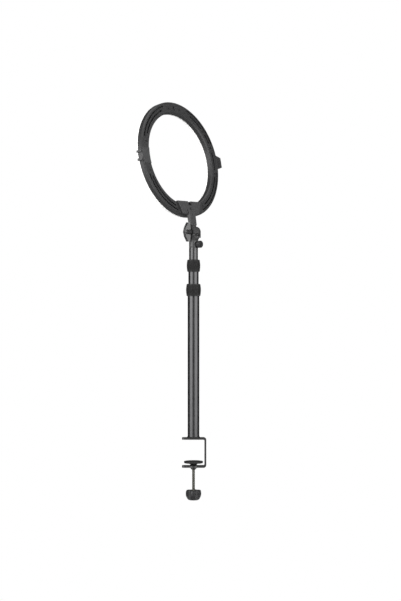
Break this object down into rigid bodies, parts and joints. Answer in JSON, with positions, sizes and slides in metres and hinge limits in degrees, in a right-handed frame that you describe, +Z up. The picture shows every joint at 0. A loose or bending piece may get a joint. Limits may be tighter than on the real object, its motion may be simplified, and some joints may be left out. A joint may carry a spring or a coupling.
{
  "type": "ring light on clamp pole",
  "caption": "Ten-inch ring light on a telescopic pole with twist-lock collars, a tilting and panning head and a screw desk clamp.",
  "frame": {"origin": "where the pole's axis meets the underside of the clamp's top jaw, which is the desk top", "axes": "+Z up the pole; -Y out of the clamp's open side, so the web is at +Y; +X to the right of someone facing the web from the open side"},
  "size_m": [0.225, 0.1827, 0.8572],
  "materials": {
    "shell_plastic": "fine moulded texture, satin black",
    "neck_plastic": "fine moulded texture, dark grey",
    "diffuser_plastic": "translucent white, satin",
    "grip_rubber": "knurled matt black",
    "tube_finish": "dark grey anodised, satin with lengthwise highlights",
    "clamp_coat": "black powder coat",
    "bare_steel": "bare zinc-plated steel",
    "dark_steel": "blackened steel",
    "knob_plastic": "moulded black, satin",
    "brass": "turned",
    "inner_plastic": "plain acetal",
    "circuit_board": "white solder mask",
    "led_lens": "yellow phosphor",
    "pad_rubber": "matt black facing"
  },
  "bodies": {
    "clamp_and_pole": {"clamp_bracket": "clamp_coat", "clamp_nut": "clamp_coat", "pole_foot_ring": "pad_rubber", "base_plug": "inner_plastic", "base_bolt": "dark_steel", "lower_tube": "tube_finish", "lower_lock_sleeve": "inner_plastic", "lower_collet": "inner_plastic"},
    "pad": {"clamp_pad": "clamp_coat", "pad_facing": "pad_rubber"},
    "screw": {"clamp_screw": "bare_steel", "clamp_knob": "knob_plastic", "clamp_knob_insert": "bare_steel"},
    "lower_collar": {"lower_collar_nut": "knob_plastic", "lower_collar_grip": "grip_rubber"},
    "middle_pole": {"middle_tube": "tube_finish", "middle_slide_bush": "inner_plastic", "upper_lock_sleeve": "inner_plastic", "upper_collet": "inner_plastic"},
    "upper_collar": {"upper_collar_nut": "knob_plastic", "upper_collar_grip": "grip_rubber"},
    "upper_pole": {"upper_tube": "tube_finish", "upper_slide_bush": "inner_plastic", "head_spigot": "dark_steel"},
    "head_support": {"head_socket": "neck_plastic", "friction_washers": "inner_plastic", "tilt_bolt": "dark_steel", "knob_washer": "dark_steel"},
    "thumb_screw": {"thumb_screw_knob": "knob_plastic", "thumb_screw_stud": "dark_steel"},
    "tilt_knob": {"wing_knob": "knob_plastic", "wing_knob_insert": "brass"},
    "ring_light": {"neck_bracket": "neck_plastic", "rear_shell": "shell_plastic", "diffuser": "diffuser_plastic", "led_board": "circuit_board", "led_chips": "led_lens", "shell_screws": "dark_steel", "bracket_screws": "dark_steel", "cold_shoe": "neck_plastic", "accessory_insert": "brass", "pod_cover": "shell_plastic", "control_board": "circuit_board", "tact_switches": "inner_plastic", "power_inlet": "inner_plastic"},
    "brighter": {"button_brighter": "knob_plastic"},
    "mode": {"button_mode": "knob_plastic"},
    "dimmer": {"button_dimmer": "knob_plastic"}
  },
  "joints": [
    {"name": "clamp_slide", "type": "slide", "parent": "clamp_and_pole", "child": "pad", "axis": [0, 0, 1], "range_m": [0, 0.0433]},
    {"name": "clamp_turn", "type": "hinge", "parent": "pad", "child": "screw", "pos_m": [0, 0, -0.09], "axis": [0, 0, 1], "range_deg": [0, 12300]},
    {"name": "lower_collar_twist", "type": "hinge", "parent": "clamp_and_pole", "child": "lower_collar", "pos_m": [0, 0, 0.32], "axis": [0, 0, 1], "range_deg": [0, 120]},
    {"name": "middle_slide", "type": "slide", "parent": "clamp_and_pole", "child": "middle_pole", "axis": [0, 0, 1], "range_m": [0, 0.22]},
    {"name": "upper_collar_twist", "type": "hinge", "parent": "middle_pole", "child": "upper_collar", "pos_m": [0, 0, 0.372], "axis": [0, 0, 1], "range_deg": [0, 120]},
    {"name": "upper_slide", "type": "slide", "parent": "middle_pole", "child": "upper_pole", "axis": [0, 0, 1], "range_m": [0, 0.22]},
    {"name": "head_pan", "type": "hinge", "parent": "upper_pole", "child": "head_support", "pos_m": [0, 0, 0.42], "axis": [0, 0, 1], "continuous": true},
    {"name": "thumb_screw_turn", "type": "hinge", "parent": "head_support", "child": "thumb_screw", "pos_m": [0.00755, 0.00933, 0.418], "axis": [0.6293, 0.7771, 0], "range_deg": [0, 270]},
    {"name": "head_tilt", "type": "hinge", "parent": "head_support", "child": "ring_light", "pos_m": [0, 0, 0.444], "axis": [0.7771, -0.6293, 0], "range_deg": [-101, 79]},
    {"name": "wing_knob_turn", "type": "hinge", "parent": "head_support", "child": "tilt_knob", "pos_m": [0, 0, 0.444], "axis": [0.7771, -0.6293, 0], "range_deg": [0, 270]},
    {"name": "brighter_press", "type": "slide", "parent": "ring_light", "child": "brighter", "axis": [-0.6178, -0.7629, -0.1908], "range_m": [0, 0.0006], "stiffness_N_per_m": 400},
    {"name": "mode_press", "type": "slide", "parent": "ring_light", "child": "mode", "axis": [-0.6178, -0.7629, -0.1908], "range_m": [0, 0.0006], "stiffness_N_per_m": 400},
    {"name": "dimmer_press", "type": "slide", "parent": "ring_light", "child": "dimmer", "axis": [-0.6178, -0.7629, -0.1908], "range_m": [0, 0.0006], "stiffness_N_per_m": 400}
  ],
  "couplings": [
    {"joint": "clamp_turn", "follows": "clamp_slide", "rad_per_m": 4947.4}
  ]
}
